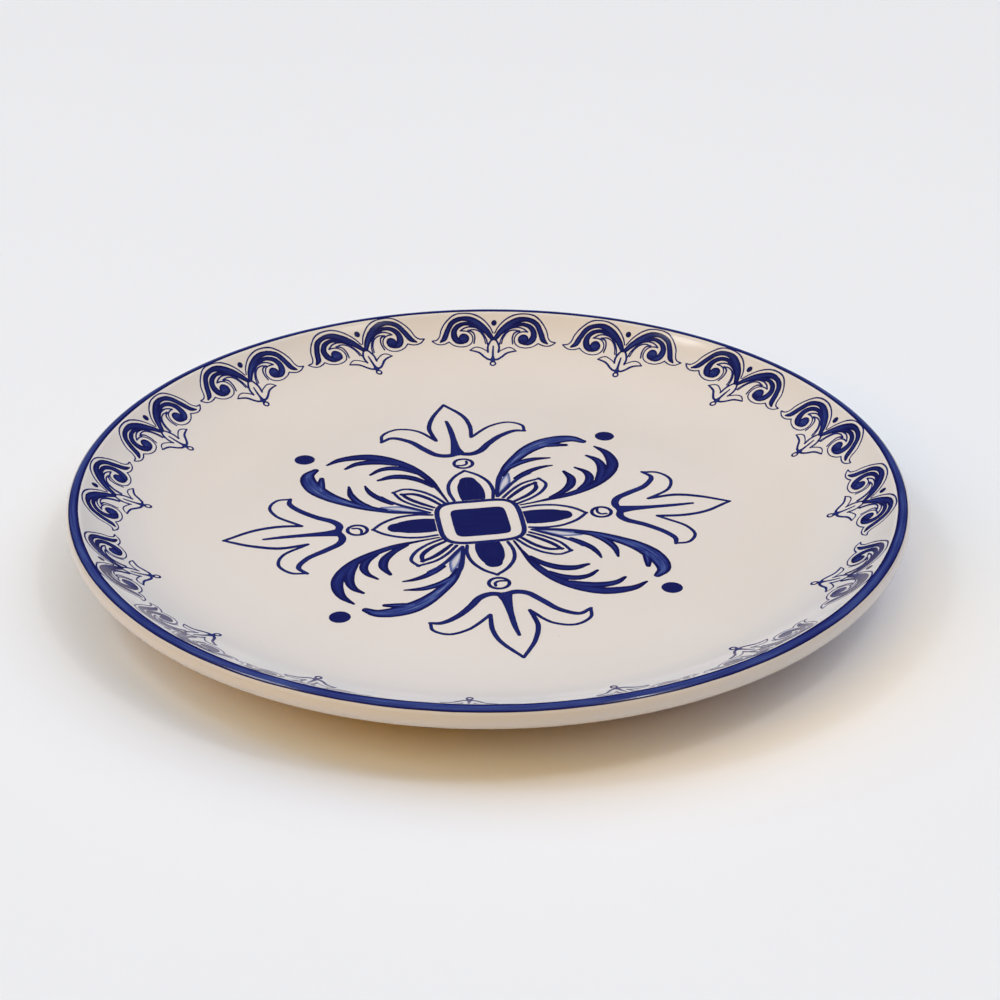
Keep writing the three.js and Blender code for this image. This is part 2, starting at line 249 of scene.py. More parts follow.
clayLook = {
    "light": colour(214, 176, 134),
    "dark": colour(178, 132, 92),
    "grain": 1500.0,                        # per metre
    "broad": 60.0,
    "rough": 0.8,
    "grainRough": 0.15,
    "grainDepth": 0.0001,
}


def bareClay(name):
    finish = Finish(name, {"IOR": 1.45, "Specular IOR Level": 0.3})
    where = finish.place()
    grain = finish.noise(where, clayLook["grain"], 4.0)
    broad = finish.noise(where, clayLook["broad"], 3.0)
    share = grain * 0.7 + broad * 0.5 - 0.1
    finish.feed("Base Color", finish.blend(share, clayLook["light"], clayLook["dark"]))
    finish.feed("Roughness", clayLook["rough"] + grain * clayLook["grainRough"])
    bump = {"Strength": 0.6, "Distance": clayLook["grainDepth"], "Height": grain}
    finish.feed("Normal", finish.node("ShaderNodeBump", {}, bump))
    return finish.material


finishes = {
    "cream": creamGlaze("creamGlaze", glazeLook["body"], glazeLook["cloud"],
                        glazeLook["rim"], glazeLook["rimCoolShadeReach"]),
    # the back glaze carries painted shade and painted warm bounce; its straw further in is the coat's own
    # colour
    "back": creamGlaze("backGlaze", glazeLook["back"], glazeLook["shadedBackCloud"],
                       glazeLook["straw"], glazeLook["strawReach"]),
    "clay": bareClay("bareClay"),
    "band": bandPaint("bandCobalt"),
    # strength, streak, edge, core
    "dark": cobalt("cobaltFill", 0.95, 0.07, 0.6, 0.0),
    "spray": cobalt("cobaltSpray", 0.98, 0.30, 1.7, 0.16),
    "scroll": cobalt("cobaltScroll", 0.97, 0.36, 0.9, 0.17),
    "line": cobalt("cobaltLine", 0.93, 0.20, 0.4, 0.06),
    "fine": cobalt("cobaltFine", 0.84, 0.24, 0.4, 0.06),
    "wash": cobalt("cobaltWash", 1.0, 0.54, 1.6, 0.38),
    "pool": cobalt("cobaltPool", 0.46, 0.24, 1.3, 0.36),
}
print("finishes:", ", ".join(finishes))


# outline of the pot

plate = {                       # millimetres
    "radius": 140.0,
    "height": 25.0,
    "floor": 6.2,               # thickness of the middle
    "footHeight": 3.4,
    "footRadius": 89.0,
    "footWidth": 5.6,
    "wellFlat": 83.0,           # radius of the flat floor
    "shoulder": 106.5,          # where the slow curve turns into the rim
    "shoulderSlope": math.asin(0.1416),
    "underCorner": 112.0,
    "lip": 3.4,                 # radius of the rounded edge
    "wallDrop": 2.6,
    "underSag": 0.5,
    "footSlant": 0.5,
    "glaze": 0.5,               # thickness of a coat
    "sunk": 0.05,               # the glaze lies this far under the drawn outline
    "bandSunk": 0.02,
    "clayGap": 0.1,
    "turns": 256,               # steps round the plate
    "rings": (20.0, 40.0, 60.0),    # rings of points across its flat middle
    "lipEnd": -120.0,           # degrees round the lip, 0 at its top: where it runs into the wall
    "frontEnd": -8.0,           # where the front glaze ends, under the band
    "backStart": -32.0,         # where the back glaze starts, under the band
    "crease": 50.0,             # edges sharper than this stay crisp, in degrees
}
floorTop = plate["footHeight"] + plate["floor"]
rimRise = plate["height"] - floorTop
slope = plate["shoulderSlope"]
shoulderArc = (plate["shoulder"] - plate["wellFlat"]) / math.sin(slope)
shoulderRise = shoulderArc * (1 - math.cos(slope))
lipR = plate["radius"] - plate["lip"]
lipZ = plate["height"] - plate["lip"]
chordR = lipR - plate["shoulder"] - plate["lip"] * math.sin(slope)
chordZ = rimRise - plate["lip"] - shoulderRise + plate["lip"] * math.cos(slope)
lipSlope = 2 * math.atan2(chordZ, chordR) - slope
rimArc = chordR / (math.sin(lipSlope) - math.sin(slope)) - plate["lip"]
rimArcR = plate["shoulder"] - rimArc * math.sin(slope)
rimArcZ = floorTop + shoulderRise + rimArc * math.cos(slope)
lipJoint = lipR - plate["lip"] * math.sin(lipSlope)


def surface(r):                 # height and slope of the painted side at a radius
    if r <= plate["wellFlat"]:
        return floorTop, 0.0
    if r <= plate["shoulder"]:
        out = r - plate["wellFlat"]
        fall = math.sqrt(shoulderArc ** 2 - out ** 2)
        return floorTop + shoulderArc - fall, math.asin(out / shoulderArc)
    if r <= lipJoint:
        out = r - rimArcR
        return rimArcZ - math.sqrt(rimArc ** 2 - out ** 2), math.asin(out / rimArc)
    out = min(r, lipR) - lipR
    return lipZ + math.sqrt(plate["lip"] ** 2 - out ** 2), math.asin(-out / plate["lip"])


def arcLine(centreR, centreZ, radius, start, end, steps):
    side = -1 if end > start else 1
    line = []
    for i in range(steps + 1):
        heading = start + (end - start) * i / steps
        r = centreR - side * radius * math.sin(heading)
        z = centreZ + side * radius * math.cos(heading)
        line.append((r, z, heading))
    return line


def cornerLine(before, corner, after, radius, steps):
    arriving = math.atan2(corner[1] - before[1], corner[0] - before[0])
    turn = math.atan2(after[1] - corner[1], after[0] - corner[0]) - arriving
    turn = (turn + math.pi) % (2 * math.pi) - math.pi
    reach = radius * math.tan(abs(turn) / 2)
    startR = corner[0] - reach * math.cos(arriving)
    startZ = corner[1] - reach * math.sin(arriving)
    side = -1 if turn > 0 else 1
    centreR = startR + side * radius * math.sin(arriving)
    centreZ = startZ - side * radius * math.cos(arriving)
    return arcLine(centreR, centreZ, radius, arriving, arriving + turn, steps)


def lipLine(start, end, steps):
    return arcLine(lipR, lipZ, plate["lip"], math.radians(start), math.radians(end), steps)


def sink(line, depth):          # moves a line into the pot, square to its surface
    moved = []
    for r, z, heading in line:
        moved.append((max(0.0, r + depth * math.sin(heading)), z - depth * math.cos(heading)))
    return moved


lipEnd = plate["lipEnd"]
leave = (lipR - plate["lip"] * math.sin(math.radians(lipEnd)),
         lipZ + plate["lip"] * math.cos(math.radians(lipEnd)))
wall = (leave[0] + plate["wallDrop"] * math.cos(math.radians(lipEnd)),
        leave[1] + plate["wallDrop"] * math.sin(math.radians(lipEnd)))
under = (plate["underCorner"], surface(plate["underCorner"])[0] - plate["floor"] - plate["underSag"])
footOuterTop = (plate["footRadius"] + plate["footSlant"], plate["footHeight"] + plate["underSag"])
footOuterLow = (plate["footRadius"], 0.0)
footInnerLow = (plate["footRadius"] - plate["footWidth"], 0.0)
footInnerTop = (footInnerLow[0] - plate["footSlant"], plate["footHeight"])

innerLine = (
    [(0.0, floorTop, 0.0)]
    + [(r, floorTop, 0.0) for r in plate["rings"]]
    + arcLine(plate["wellFlat"], floorTop + shoulderArc, shoulderArc, 0.0, slope, 14)
    + arcLine(rimArcR, rimArcZ, rimArc, slope, lipSlope, 28)[1:]
)
underLine = (
    cornerLine(leave, wall, under, 7.0, 10)
    + cornerLine(wall, under, footOuterTop, 53.0, 14)
    + cornerLine(under, footOuterTop, footOuterLow, 1.6, 6)
)
footLine = (
    cornerLine(footOuterTop, footOuterLow, footInnerLow, 1.3, 6)
    + cornerLine(footOuterLow, footInnerLow, footInnerTop, 1.3, 6)
)
baseLine = (
    cornerLine(footInnerLow, footInnerTop, (0.0, plate["footHeight"]), 1.6, 6)
    + [(r, plate["footHeight"], -math.pi) for r in (*plate["rings"][::-1], 0.0)]
)


# turned pieces

def spun(outline, closed):      # turns an outline round the plate's axis
    shell = bmesh.new()
    rim = [shell.verts.new((r * mm, 0.0, z * mm)) for r, z in outline]
    pairs = list(zip(rim, rim[1:]))
    if closed:
        pairs.append((rim[-1], rim[0]))
    edges = [shell.edges.new(pair) for pair in pairs]
    bmesh.ops.spin(shell, geom=rim + edges, cent=(0, 0, 0), axis=(0, 0, 1), dvec=(0, 0, 0),
                   angle=2 * math.pi, steps=plate["turns"], use_merge=True, use_duplicate=False)
    bmesh.ops.remove_doubles(shell, verts=shell.verts, dist=0.001 * mm)
    bmesh.ops.recalc_face_normals(shell, faces=shell.faces)
    return shell


def finished(name, shell, looks, nodes, sharp=plate["crease"]):
    # sharp: crease angle in degrees, or None to keep the edges as the shell has them
    mesh = bpy.data.meshes.new(name)
    for face in shell.faces:
        face.smooth = True
    shell.to_mesh(mesh)
    shell.free()
    for look in looks:
        mesh.materials.append(finishes[look])
    if sharp:
        mesh.set_sharp_from_angle(angle=math.radians(sharp))
    piece = bpy.data.objects.new(name, mesh)
    bpy.context.scene.collection.objects.link(piece)
    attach(piece, "root")
    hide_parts(*nodes)
    return piece


def coat(line, depth):          # a closed outline one coat thick
    return sink(line, depth) + sink(line, plate["glaze"])[::-1]


def waver(angle, pace, seed):   # a slow, seamless wander round the plate
    return noise.noise(Vector((pace * math.cos(angle), pace * math.sin(angle), seed)))


clayDepth = plate["glaze"] + plate["clayGap"] - plate["sunk"]
clayOutline = (
    sink(innerLine, clayDepth)
    + sink(lipLine(math.degrees(lipSlope), lipEnd, 24)[1:-1], clayDepth)
    + sink(underLine, clayDepth)
    + sink(footLine, 0.0)
    + sink(baseLine, clayDepth)
)
finished("clayBody", spun(clayOutline, False), ["clay"], ["clay_body"])

frontLine = innerLine + lipLine(math.degrees(lipSlope), plate["frontEnd"], 12)[1:]
frontShell = spun(coat(frontLine, plate["sunk"]), False)
finished("frontGlaze", frontShell, ["cream"], ["front_glaze"])

backLine = lipLine(plate["backStart"], lipEnd, 22)[:-1] + underLine
backShell = spun(coat(backLine, plate["sunk"]), True)
finished("backGlaze", backShell, ["back"], ["back_glaze"])

baseShell = spun(coat(baseLine, plate["sunk"]), False)
finished("baseGlaze", baseShell, ["back"], ["base_glaze"])

band = {
    "start": 18.0,              # degrees round the lip, 0 at its top
    "end": -42.0,
    "steps": 20,
    "thickness": 0.3,
    "crease": 70.0,
    "wander": 2.2,              # degrees its edges wander, in waves of share, pace and seed
    "startWaves": ((1.0, 4.0, 3.0), (0.5, 18.0, 5.0)),
    "endWaves": ((1.0, 4.0, 9.0), (0.6, 20.0, 12.0)),
    "heavy": 0.65,              # the paint stays dark over more of its inner half
    "grain": (7.0, 1.6),        # brush marks round the band and across it
}


def wandered(edge, waves, angle):
    return edge + band["wander"] * sum(share * waver(angle, pace, seed) for share, pace, seed in waves)


bandLine = lipLine(band["start"], band["end"], band["steps"])
bandOutline = sink(bandLine, plate["bandSunk"]) + sink(bandLine, band["thickness"])[::-1]
bandShell = spun(bandOutline, True)
depthLayer = bandShell.verts.layers.float.new("depth")
flowLayer = bandShell.verts.layers.float_vector.new("flow")
for vert in bandShell.verts:
    angle = math.atan2(vert.co.y, vert.co.x)
    r = math.hypot(vert.co.x, vert.co.y) / mm - lipR
    z = vert.co.z / mm - lipZ
    heading = math.degrees(math.atan2(-r, z))
    share = (heading - band["start"]) / (band["end"] - band["start"])
    start = wandered(band["start"], band["startWaves"], angle)
    end = wandered(band["end"], band["endWaves"], angle)
    turned = math.radians(start + share * (end - start))
    reach = math.hypot(r, z)
    out = lipR - reach * math.sin(turned)
    c, s = math.cos(angle), math.sin(angle)
    vert.co = Vector((out * c, out * s, lipZ + reach * math.cos(turned))) * mm
    width = math.radians(start - end) * plate["lip"]
    vert[depthLayer] = width * min(band["heavy"] * share, 1 - share)
    vert[flowLayer] = (band["grain"][0] * c, band["grain"][0] * s, width * share * band["grain"][1])
finished("rimBand", bandShell, ["band"], ["rim_band"], band["crease"])
print("turned pieces: clay body, front, back and base glaze, rim band")


# brush strokes

brush = {                       # millimetres
    "spacing": 0.7,             # between the cross lines of a stroke
    "lift": 0.03,               # the first stroke stands this far above the glaze
    "step": 0.002,              # each further stroke of a mark lies this much higher
    "body": 0.06,               # thickness of the dried paint
    "sway": 0.35,               # how far a repeated mark strays from its drawing
    "ragged": 0.07,             # how uneven its edges are
    "press": 0.35,              # a line in the middle comes out this much wider than its guide
    "swayPace": 0.07,           # waves of the sway and of the ragged edge, per millimetre
    "raggedPace": 1.1,
    "raggedSeed": 40.0,
    "broad": 1.6,               # strokes at least this wide get the finer cross lines
    "lanes": (4, 8),
    "apart": 7.3,               # keeps the brush marks of one stroke from following into the next
}
capAngles = [math.radians(a) for a in (14, 32, 50, 70)]


def smoothLine(stations):       # centripetal curve through the stations of a stroke
    points = [Vector(s) for s in stations]
    points = [2 * points[0] - points[1]] + points + [2 * points[-1] - points[-2]]
    line = []
    for a, b, c, d in zip(points, points[1:], points[2:], points[3:]):
        ab, bc, cd = (math.sqrt((q - p).length) for p, q in ((a, b), (b, c), (c, d)))
        for i in range(12):
            t = ab + bc * i / 12
            p = a.lerp(b, t / ab)
            q = b.lerp(c, (t - ab) / bc)
            s = c.lerp(d, (t - ab - bc) / cd)
            p = p.lerp(q, t / (ab + bc))
            q = q.lerp(s, (t - ab) / (bc + cd))
            line.append(p.lerp(q, (t - ab) / bc))
    line.append(points[-2])
    return np.array([tuple(p) for p in line])


def evenLine(line):             # the same line with evenly spaced points: x, y, width, along
    steps = np.hypot(np.diff(line[:, 0]), np.diff(line[:, 1]))
    along = np.concatenate([[0.0], np.cumsum(steps)])
    count = max(5, int(along[-1] / brush["spacing"]))
    even = np.linspace(0.0, along[-1], count + 1)
    return np.stack([np.interp(even, along, line[:, k]) for k in range(3)] + [even], axis=1)


def crossLines(line, kind):     # centre, direction, half width and distance of every cross line
    ahead = np.gradient(line[:, :2], axis=0)
    if kind == "loop":
        ahead[0] = ahead[-1] = line[1, :2] - line[-2, :2]
    ahead /= np.linalg.norm(ahead, axis=1)[:, None]
    rows = [(line[i, :2], ahead[i], line[i, 2] / 2, line[i, 3]) for i in range(len(line))]
    if kind == "loop":
        return rows
    first, last = rows[0], rows[-1]
    for a in capAngles[::-1] if kind == "stroke" else []:
        rows.insert(0, (first[0] - first[1] * first[2] * math.cos(a), first[1],
                        first[2] * math.sin(a), first[3] - first[2] * math.cos(a)))
    for a in capAngles[::-1]:
        rows.append((last[0] + last[1] * last[2] * math.cos(a), last[1],
                     last[2] * math.sin(a), last[3] + last[2] * math.cos(a)))
    return rows


def loopLine(centreX, centreY, radius, power, width):
    count = max(24, int(2 * math.pi * radius / brush["spacing"]))
    line = []
    for i in range(count + 1):
        angle = 2 * math.pi * i / count
        c, s = math.cos(angle), math.sin(angle)
        reach = radius / (abs(c) ** power + abs(s) ** power) ** (1 / power)
        line.append((centreX + reach * c, centreY + reach * s, width, radius * angle))
    return np.array(line)


def discsOf(strokes):           # the strokes as many small discs, to tell how deep a point lies
    discs = [shape[:, :3] * (1, 1, 0.5) for kind, look, shape in strokes if kind in ("stroke", "square")]
    return np.concatenate(discs) if discs else None


def depthIn(discs, x, y):
    return float(max(0.0, np.max(discs[:, 2] - np.hypot(discs[:, 0] - x, discs[:, 1] - y))))


def stroke(look, stations, press=0.0, kind="stroke"):
    line = evenLine(smoothLine(stations))
    line[:, 2] += press
    return (kind, look, line)


def pressed(*lines):            # lines of the middle ornament, drawn with a loaded brush
    return [stroke("line", stations, brush["press"]) for stations in lines]


def loop(look, *shape):
    return ("loop", look, loopLine(*shape))


def blot(look, centreX, centreY, radius, power):
    return ("blot", look, loopLine(centreX, centreY, radius, power, 0.0))


def drawn(strokes):             # a mark drawn flat, in millimetres, its strokes stacked in order
    looks = list(dict.fromkeys(look for kind, look, shape in strokes))
    groups = {look: discsOf([s for s in strokes if s[1] == look]) for look in looks}
    sheet = bmesh.new()
    depthOf = sheet.verts.layers.float.new("depth")
    flowOf = sheet.verts.layers.float_vector.new("flow")
    for number, (kind, look, shape) in enumerate(strokes):
        lift = brush["lift"] + brush["step"] * number
        rows = None if kind == "blot" else crossLines(shape, kind)
        columns = len(shape) if rows is None else len(rows)
        wide = kind == "blot" or float(np.max(shape[:, 2])) >= brush["broad"]
        lanes = brush["lanes"][1] if wide else brush["lanes"][0]
        known = set(sheet.faces)
        grid = bmesh.ops.create_grid(sheet, x_segments=columns - 1, y_segments=lanes, size=1.0)
        made = grid["verts"]
        for vert in made:
            i = round((vert.co.x + 1) / 2 * (columns - 1))
            across = vert.co.y
            if kind == "blot":
                share = (1 - across) / 2
                middle = shape[:-1, :2].mean(axis=0)
                out = shape[i, :2] - middle
                x, y = middle + out * share
                depth = float(np.linalg.norm(out)) * (1 - share)
                flow = (x, y, number * brush["apart"])
            else:
                centre, ahead, half, along = rows[i]
                x = centre[0] - ahead[1] * half * across
                y = centre[1] + ahead[0] * half * across
                depth = half * (1 - abs(across))
                if kind != "loop":
                    depth = max(depth, depthIn(groups[look], x, y))
                flow = (along, half * across, number * brush["apart"])
            vert.co = (x, y, lift)
            vert[depthOf] = depth
            vert[flowOf] = flow
        if kind in ("loop", "blot"):
            bmesh.ops.remove_doubles(sheet, verts=made, dist=0.001)
        for face in sheet.faces:
            if face not in known:
                face.material_index = looks.index(look)
    return sheet, looks


def laid(name, drawing, place, seed, node):
    # copies a flat drawing onto the plate, with the small wander of a hand
    flat, looks = drawing
    sheet = flat.copy()
    for vert in sheet.verts:
        x, y, lift = vert.co
        slow = Vector((x * brush["swayPace"], y * brush["swayPace"], seed))
        quick = Vector((x * brush["raggedPace"], y * brush["raggedPace"], seed + brush["raggedSeed"]))
        sway = noise.noise_vector(slow) * brush["sway"]
        ragged = noise.noise_vector(quick) * brush["ragged"]
        x, y = place(x + sway.x + ragged.x, y + sway.y + ragged.y)
        r = math.hypot(x, y)
        height, tilt = surface(r)
        lift -= plate["sunk"]
        inward = lift * math.sin(tilt) / max(r, 1.0)
        height += lift * math.cos(tilt)
        vert.co = (x * (1 - inward) * mm, y * (1 - inward) * mm, height * mm)
    for edge in sheet.edges:    # the paint keeps a crisp rim
        edge.smooth = not edge.is_boundary
    piece = finished(name, sheet, looks, [node], None)
    thick = piece.modifiers.new("paintBody", "SOLIDIFY")
    thick.thickness = brush["body"] * mm
    thick.offset = -1.0
    return piece


# middle ornament

middle = {
    "turn": 8.9,                # degrees and millimetres off the plate's own axes
    "shift": -2.7,
    "reach": {"north": 1.0, "west": 0.978, "south": 0.99, "east": 0.978},   # of the lilies
    "centreSeed": 1.0,
    "quarterSeed": 10.0,        # times the number of the quarter
}
quarters = list(middle["reach"])


def middlePlace(quarter, reach=1.0):
    angle = math.radians(middle["turn"] + 90 * quarter)
    c, s = reach * math.cos(angle), reach * math.sin(angle)
    return lambda x, y: (x * c - y * s + middle["shift"], x * s + y * c)


def mirrored(stations):
    return [(-x, y, width) for x, y, width in stations]


petalSide = [(6.9, 15.6, 0.9), (7.7, 21, 1), (6.9, 27, 1), (3.9, 32.6, 1), (-0.1, 36.3, 0.9)]
petalFill = [(0, 15.1, 8.4), (0, 19, 9.4), (0, 25, 8.4), (0, 28.4, 6)]
leafUpper = [(10.3, 15.2, 0.9), (14, 20, 0.9), (18.5, 24, 0.9), (24.7, 26.5, 0.9)]
leafLower = [(24.4, 26.7, 0.9), (26.3, 22.5, 0.9), (24.3, 17.6, 1), (20, 13.4, 0.9), (14.2, 10, 0.9)]
loopUpper = [(11.9, 14.3, 1.3), (15.2, 18, 1.7), (19, 21.4, 1.7), (23, 23.7, 1.3)]
loopLower = [(22.7, 23.9, 1.3), (22.3, 19.7, 1.7), (18.9, 15.6, 1.7), (13.4, 11.8, 1.3)]

darkSpray = [
    [(15.2, 9, 0.9), (22, 10.4, 1.3), (30, 12.5, 2.5), (37.5, 15.9, 3.2), (44, 20.3, 3.8),
     (49, 26, 4.3), (51.7, 32, 4.4), (52, 37.5, 4), (51, 42.5, 2.9), (48.2, 46.9, 1.1)],
    [(45, 22.5, 3), (47.4, 28, 3.9), (47.8, 33, 3.4), (46.8, 37.4, 2.6), (44.2, 40.7, 1.3)],
    [(37.2, 16.8, 2.2), (40.6, 20.6, 3), (42.2, 25, 3.1), (41.5, 29, 2.3), (38.6, 32.6, 1.1)],
    [(26.5, 12.4, 1.8), (31, 15.8, 2.6), (34.6, 20.5, 3.3), (35.7, 25.4, 3.1), (34.2, 30.4, 1.4)],
]
washSpray = [
    [(12.2, 31, 2.6), (15, 36.5, 3.6), (19.5, 43, 4.4), (25, 48.8, 5.6), (31, 52.6, 6.4),
     (37, 54.3, 5.6), (41.5, 53.9, 4.4), (44.8, 51.3, 2.6)],
    [(30, 50.4, 2.2), (34.5, 50.3, 2.8), (38.4, 49.6, 1.8)],
    [(14.4, 35, 2.4), (19.5, 39, 2.9), (25, 41, 2.5), (31, 41, 0.9)],
    [(16.8, 27.9, 2.2), (19.8, 30.7, 2.6), (24, 33.6, 2.4), (27.8, 35, 1.7), (30.8, 35.4, 0.8)],
]
washPool = [(9.2, 18.2, 1), (11, 22.4, 2.9), (12.6, 25.8, 3.6), (13.6, 29, 2.6), (14.6, 32, 0.8)]
washLines = [
    [(8.5, 16.2, 0.9), (8.8, 19, 1.1), (9.7, 24, 1.3), (11, 29, 1.6), (12.9, 33.6, 1.6)],
    [(8.8, 16.4, 0.8), (11.6, 20.3, 1.1), (15.2, 25.1, 1.1), (18.6, 28.6, 1), (22, 31, 0.9)],
]
lily = [
    [(26, 63, 0.9), (22.5, 63.7, 1.6), (17, 60.8, 2), (11.7, 55.6, 2.2), (7.5, 50, 2.4),
     (4, 48.3, 2.4), (0, 49.4, 2.2)],
    [(-26.2, 62.2, 0.9), (-22, 64.8, 1.5), (-16, 61.2, 1.9), (-11.7, 54.6, 2.2), (-8, 49.6, 2.3),
     (-4.2, 48.2, 2.4), (0, 49.4, 2.2)],
    [(25.8, 63.1, 0.9), (25.6, 67.6, 0.9), (21, 70.8, 0.9), (14.5, 69, 0.9), (6.2, 61.2, 1)],
    [(-26, 62.4, 0.9), (-25, 67.6, 0.9), (-19.5, 71.2, 0.9), (-12.5, 69, 0.9), (-6.6, 60.4, 1)],
    [(6.2, 61.2, 1.1), (6.9, 70, 1.3), (5.6, 78, 1.2), (0, 88, 0.9)],
    [(-6.6, 60.4, 1.1), (-7.7, 70, 1.4), (-5.4, 78, 1.3), (0, 88, 0.9)],
    [(-0.4, 50.2, 4.6), (-0.5, 53, 3.4), (-0.3, 60, 2), (-0.4, 69, 1.5), (-0.7, 74.8, 0.9)],
]
roundelCurl = [(1.7, 43, 1), (1.6, 41.2, 1.1), (0.2, 40.2, 1.1), (-2.9, 40.6, 1)]

quarterMarks = {
    "petal_outline": ("cobalt_line", pressed(petalSide, mirrored(petalSide))),
    "petal_fill": ("cobalt_dark", [stroke("dark", petalFill, kind="square")]),
    "leaf_outline": ("cobalt_line", pressed(leafUpper, leafLower)),
    "leaf_loop": ("cobalt_dark", [stroke("dark", loopUpper), stroke("dark", loopLower)]),
    "spray_washed": ("cobalt_wash", [stroke("pool", washPool)] + [stroke("wash", s) for s in washSpray]
                     + pressed(*washLines)),
    "spray_dark": ("cobalt_dark", [stroke("spray", s) for s in darkSpray]),
    "corner_dot": ("cobalt_dark", [blot("dark", 53.4, 54.2, 3.5, 2)]),
    "roundel": ("cobalt_line", [loop("line", 0.4, 41.5, 3.35, 2, 1.3), stroke("line", roundelCurl)]),
    "lily": ("cobalt_line", pressed(*lily)),
}


def pieceName(node):            # centre_square becomes centreSquare
    first, *rest = node.split("_")
    return first + "".join(part.capitalize() for part in rest)


centreMarks = {
    "centre_square": ("cobalt_dark", [blot("dark", 0, -0.3, 9.4, 8)]),
    "centre_ring": ("cobalt_line", [loop("line", 0, 0, 14.0, 4.5, 1.8)]),
}
for node, (slot, strokes) in centreMarks.items():
    laid(pieceName(node), drawn(strokes), middlePlace(0), middle["centreSeed"], node)
for mark, (slot, strokes) in quarterMarks.items():
    drawing = drawn(strokes)
    for quarter, side in enumerate(quarters):
        node = mark + "_" + side
        place = middlePlace(quarter, middle["reach"][side] if mark == "lily" else 1.0)
        laid(pieceName(node), drawing, place, middle["quarterSeed"] * quarter, node)
print("middle ornament: painted")


# rim ornament

rim = {
    "count": 16,
    "middle": 127.0,            # radius the marks lean about
    "unroll": 125.0,            # radius their widths are measured at
    "budTop": 117.0,            # above this radius the marks move in from the band by held,
    "easing": 8.0,              # reached over this much of the radius
    "held": 1.2,
    "drift": [-1, -1.3, -1.1, -0.8, -1.1, -1.5, -3.7, -3,       # degrees, mark by mark
              -3, -3.5, -2.6, -1.7, -1.7, -1.4, -1.1, -0.9],
    "lean": [1.5, -4.7, 7.6, -9.6, -4.8, -6, -5, -4, 3, -5, 5, 8.1, -5.7, -1.4, 8.5, -8.8],
    "seed": 100.0,
    "seedStep": 7,
}


def rimPlace(index):
    angle = math.radians(90 - 360 / rim["count"] * index + rim["drift"][index])
    lean = math.sin(math.radians(rim["lean"][index]))
    tip = math.sin(math.radians(rim["lean"][index]) / 3)

    def place(x, y):
        turned = angle - (x + (y - rim["middle"]) * lean) / rim["unroll"]
        above = min(1.0, max(0.0, (y - rim["budTop"]) / rim["easing"]))
        out = y - x * tip - rim["held"] * above
        return out * math.cos(turned), out * math.sin(turned)

    return place


def thin(points, width):        # an even line through x, y points
    return [(x, y, width) for x, y in points]


scrollOuter = [(0.5, 127, 1.6), (2.4, 129.6, 2.2), (5, 132, 2.5), (8.5, 134, 2), (12, 134.25, 1.5),
               (15.2, 132.9, 1.8), (17.2, 129.9, 2), (18.5, 127.3, 2), (20.2, 126, 0.7)]
scrollInner = [(4.6, 130.9, 1.4), (7.5, 132.2, 1.3), (10.5, 132.65, 1.3), (13.2, 131.7, 1.7),
               (14.6, 129.8, 2.2), (14.5, 127.5, 2.6), (13.2, 126, 2.4), (11.6, 126.3, 3)]
outerLine = thin([(0.3, 129.2), (1.6, 131.6), (4.2, 134.2), (7.4, 135.7), (10.8, 136.1), (14, 135.6),
                  (17, 133.6), (19.3, 130.8), (20.4, 128), (21.6, 126.9), (23.3, 126.7)], 0.5)
footCurl = thin([(23.3, 126.6), (21.8, 125.4), (19.9, 124.9), (18.2, 125.2), (16.8, 125.8)], 0.5)
voluteLine = thin([(16.8, 125.8), (15.2, 124.4), (13, 123.5), (11, 123.5), (9, 124.3), (7.8, 126),
                   (7.8, 128), (8.9, 129.5), (10.5, 130.1), (12.2, 130.1)], 0.5)
tipLine = thin([(12.3, 130.1), (10.8, 131.1), (8.8, 131.6), (6, 131), (4, 129.2), (2.7, 126.8),
                (2.2, 124.6)], 0.55)
flameLow = thin([(9.4, 130.3), (7.6, 129.6), (6.9, 127.6), (7.2, 125.2)], 0.6)
flameHigh = thin([(2.9, 125), (3.6, 127.6), (5.2, 129.8), (7.2, 130.6), (9.4, 130.3)], 0.5)
budSide = [(0.2, 127.3, 0.7), (1.4, 125.6, 0.75), (2.1, 123.4, 0.8), (1.95, 120.7, 0.8)]
budHornTop = thin([(1.9, 120.8), (3.6, 122.2), (5.8, 123.3), (7.4, 122.9), (8.8, 121.6)], 0.5)
budHorn = [(8.8, 121.6, 0.6), (7.2, 121.2, 0.8), (5.2, 120.3, 0.9), (3.2, 118, 0.95), (1.7, 116.8, 0.95),
           (0, 116.8, 0.9)]
budStem = [(0, 116.6, 2.2), (-0.05, 118.2, 1.1), (-0.1, 121, 0.8), (-0.1, 123.8, 0.55)]

rimStrokes = []
fineShapes = (outerLine, footCurl, voluteLine, tipLine, flameLow, flameHigh, budHornTop, budSide, budHorn)
for shape in fineShapes:
    rimStrokes += [stroke("fine", shape), stroke("fine", mirrored(shape))]
for shape in (scrollOuter, scrollInner):
    rimStrokes += [stroke("scroll", shape), stroke("scroll", mirrored(shape))]
rimStrokes += [
    blot("scroll", 11, 127.1, 2.05, 2),
    blot("scroll", -11, 127.1, 2.05, 2),
    stroke("fine", budStem),
    loop("fine", 0.1, 114.7, 1.0, 2, 0.7),
    blot("dark", 0, 132.9, 1.0, 2),
]
rimDrawing = drawn(rimStrokes)
for index in range(rim["count"]):
    node = "rim_motif_{:02d}".format(index)
    seed = rim["seed"] + rim["seedStep"] * index
    laid("rimMotif{:02d}".format(index), rimDrawing, rimPlace(index), seed, node)
print("rim ornament:", rim["count"], "motifs painted")


# floor, light and camera

studio = {
    "floorSize": 30.0,          # metres
    "world": (1.0, 1.0, 1.0),
    "worldStrength": 0.03,
    "paperLow": colour(240, 240, 241),
    "paperHigh": colour(243, 243, 244),
    "toneScale": 2.0,           # per metre
    "middle": 0.012,            # height the lamps are aimed at, in metres
    "sunDistance": 3.0,         # a sun's place does not matter, this only keeps it out of the way
}

